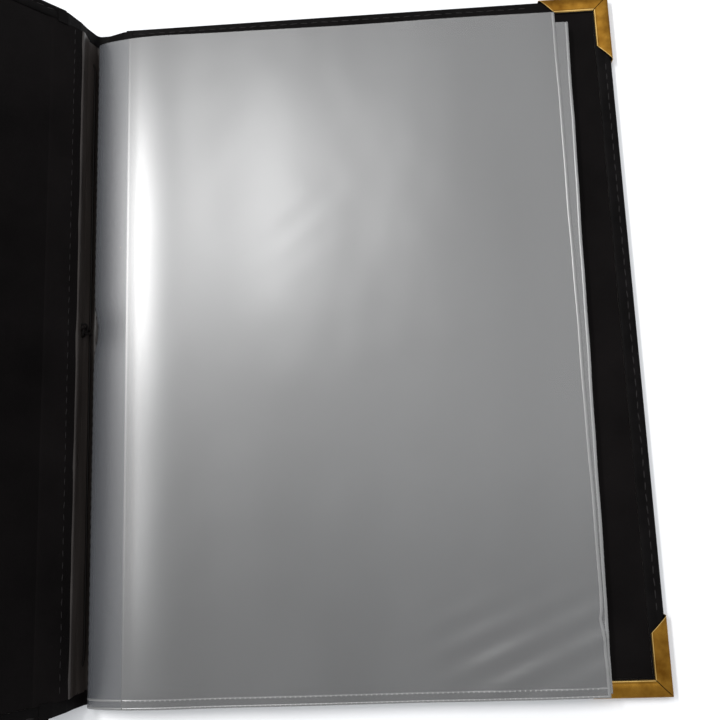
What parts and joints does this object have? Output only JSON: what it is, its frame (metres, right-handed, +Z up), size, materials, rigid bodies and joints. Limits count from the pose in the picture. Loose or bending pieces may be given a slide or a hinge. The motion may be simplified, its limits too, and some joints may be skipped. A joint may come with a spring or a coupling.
{
  "type": "menu book",
  "caption": "Hard-cover menu book with black leatherette covers, a soft spine, brass corner guards and a bound block of clear pocket leaves that turn.",
  "frame": {"origin": "centre of the back cover's underside", "axes": "+X from the spine to the fore-edge, +Y to the head of the book, +Z up out of the back cover"},
  "size_m": [0.4039, 0.3174, 0.2067],
  "materials": {
    "leatherette_black": "fine-grained black leatherette, satin",
    "lining_black": "matte black inner lining",
    "spine_strip": "smooth black spine strip, slightly glossy",
    "greyboard": "raw grey bookbinding board, hidden",
    "brass": "folded brass-coloured sheet, polished",
    "clear_film": "clear flexible film, slightly hazy",
    "cord_black": "black braided tie cord"
  },
  "bodies": {
    "back_cover": {"back_board": "greyboard", "back_cover_skin": "leatherette_black", "back_lining": "lining_black", "back_hinge_lining": "spine_strip", "back_corner_head": "brass", "back_corner_tail": "brass", "binding_strip": "spine_strip", "leaf_1_margin": "clear_film", "leaf_2_margin": "clear_film", "leaf_3_margin": "clear_film", "leaf_4_margin": "clear_film", "leaf_5_margin": "clear_film", "leaf_6_margin": "clear_film"},
    "spine": {"spine_skin": "leatherette_black", "spine_lining": "spine_strip", "tie_cord": "cord_black"},
    "front_cover": {"front_board": "greyboard", "front_cover_skin": "leatherette_black", "front_lining": "lining_black", "front_hinge_lining": "spine_strip", "front_corner_head": "brass", "front_corner_tail": "brass"},
    "leaf_6": {"leaf_6_front_film": "clear_film", "leaf_6_back_film": "clear_film"},
    "leaf_5": {"leaf_5_front_film": "clear_film", "leaf_5_back_film": "clear_film"},
    "leaf_4": {"leaf_4_front_film": "clear_film", "leaf_4_back_film": "clear_film"},
    "leaf_3": {"leaf_3_front_film": "clear_film", "leaf_3_back_film": "clear_film"},
    "leaf_2": {"leaf_2_front_film": "clear_film", "leaf_2_back_film": "clear_film"},
    "leaf_1": {"leaf_1_front_film": "clear_film", "leaf_1_back_film": "clear_film"}
  },
  "joints": [
    {"name": "spine_hinge", "type": "hinge", "parent": "back_cover", "child": "spine", "pos_m": [-0.13225, 0, 0.00055], "axis": [0, -1, 0], "range_deg": [-24, 42]},
    {"name": "front_hinge", "type": "hinge", "parent": "spine", "child": "front_cover", "pos_m": [-0.13735, 0, 0.01624], "axis": [0, -1, 0], "range_deg": [-104.5, 9.5]},
    {"name": "leaf_6_hinge", "type": "hinge", "parent": "back_cover", "child": "leaf_6", "pos_m": [-0.11225, 0, 0.012], "axis": [0, -1, 0], "range_deg": [0, 11]},
    {"name": "leaf_5_hinge", "type": "hinge", "parent": "leaf_6", "child": "leaf_5", "pos_m": [-0.11225, 0, 0.012], "axis": [0, -1, 0], "range_deg": [0, 11]},
    {"name": "leaf_4_hinge", "type": "hinge", "parent": "leaf_5", "child": "leaf_4", "pos_m": [-0.11225, 0, 0.012], "axis": [0, -1, 0], "range_deg": [0, 11]},
    {"name": "leaf_3_hinge", "type": "hinge", "parent": "leaf_4", "child": "leaf_3", "pos_m": [-0.11225, 0, 0.012], "axis": [0, -1, 0], "range_deg": [0, 11]},
    {"name": "leaf_2_hinge", "type": "hinge", "parent": "leaf_3", "child": "leaf_2", "pos_m": [-0.11225, 0, 0.012], "axis": [0, -1, 0], "range_deg": [0, 11]},
    {"name": "leaf_1_hinge", "type": "hinge", "parent": "leaf_2", "child": "leaf_1", "pos_m": [-0.11225, 0, 0.012], "axis": [0, -1, 0], "range_deg": [0, 118]}
  ]
}
